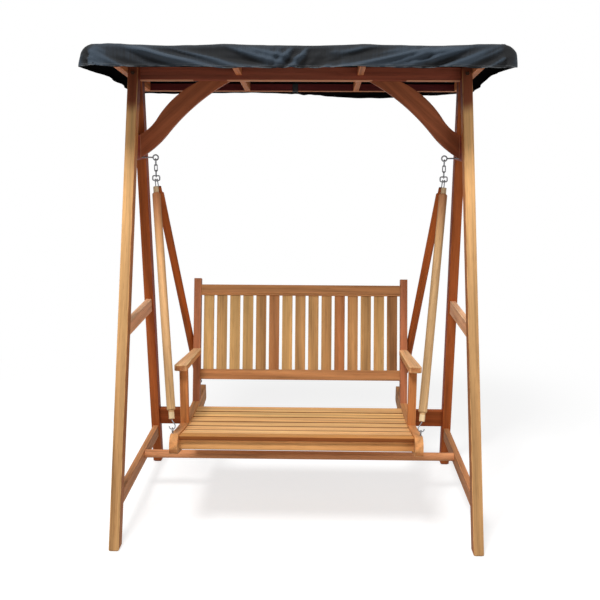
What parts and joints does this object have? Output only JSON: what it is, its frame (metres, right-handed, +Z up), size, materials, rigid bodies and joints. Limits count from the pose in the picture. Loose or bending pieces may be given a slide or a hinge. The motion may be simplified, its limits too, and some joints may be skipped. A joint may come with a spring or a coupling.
{
  "type": "canopy swing bench",
  "caption": "Free-standing wooden swing bench: A-shaped side frames and a top beam carry a slatted bench on chains and round hanger bars, under a pitched cloth canopy.",
  "frame": {"origin": "on the floor, in the middle of the four feet", "axes": "+X to the right in a front view, +Y from the front of the bench to its back, +Z up"},
  "size_m": [1.6089, 1.0148, 1.9808],
  "materials": {
    "frame_wood": "oiled, satin",
    "seat_wood": "oiled, satin",
    "bar_wood": "oiled, satin",
    "cloth": "woven, matt",
    "webbing": "woven, matt",
    "zinc": "zinc plated"
  },
  "bodies": {
    "frame": {"apex_bolts": "zinc", "apex_nuts": "zinc", "back_left_leg": "frame_wood", "back_right_leg": "frame_wood", "beam_bolts": "zinc", "brace_dowels": "frame_wood", "canopy_cover": "cloth", "canopy_front_rail": "frame_wood", "canopy_rear_rail": "frame_wood", "canopy_strap": "webbing", "eye_bolt_nuts": "zinc", "eye_bolts": "zinc", "foot_stretcher": "frame_wood", "front_left_leg": "frame_wood", "front_right_leg": "frame_wood", "left_brace": "frame_wood", "left_hanger_block": "frame_wood", "left_lower_rail": "frame_wood", "left_middle_rafter": "frame_wood", "left_middle_rail": "frame_wood", "left_side_rafter": "frame_wood", "rafter_screws": "zinc", "rear_stretcher": "frame_wood", "right_brace": "frame_wood", "right_hanger_block": "frame_wood", "right_lower_rail": "frame_wood", "right_middle_rafter": "frame_wood", "right_middle_rail": "frame_wood", "right_side_rafter": "frame_wood", "top_beam": "frame_wood"},
    "chains": {"left_chain": "zinc", "right_chain": "zinc"},
    "bench": {"back_bottom_rail": "seat_wood", "back_slats": "seat_wood", "back_top_rail": "seat_wood", "front_apron": "seat_wood", "front_left_hanger_bar": "bar_wood", "front_right_hanger_bar": "bar_wood", "left_arm_post": "seat_wood", "left_armrest": "seat_wood", "left_back_post": "seat_wood", "left_seat_rail": "seat_wood", "lower_hooks": "zinc", "rear_apron": "seat_wood", "rear_left_hanger_bar": "bar_wood", "rear_right_hanger_bar": "bar_wood", "right_arm_post": "seat_wood", "right_armrest": "seat_wood", "right_back_post": "seat_wood", "right_seat_rail": "seat_wood", "screw_eyes": "zinc", "seat_slat_1": "seat_wood", "seat_slat_2": "seat_wood", "seat_slat_3": "seat_wood", "seat_slat_4": "seat_wood", "seat_slat_5": "seat_wood", "seat_slat_6": "seat_wood", "seat_slat_7": "seat_wood", "upper_hooks": "zinc"}
  },
  "joints": [
    {"name": "chain_swing", "type": "hinge", "parent": "frame", "child": "chains", "pos_m": [0, 0, 1.5438], "axis": [1, 0, 0], "range_deg": [-20, 20]},
    {"name": "bench_swing", "type": "hinge", "parent": "chains", "child": "bench", "pos_m": [0, 0, 1.458], "axis": [1, 0, 0], "range_deg": [-10, 10]}
  ]
}
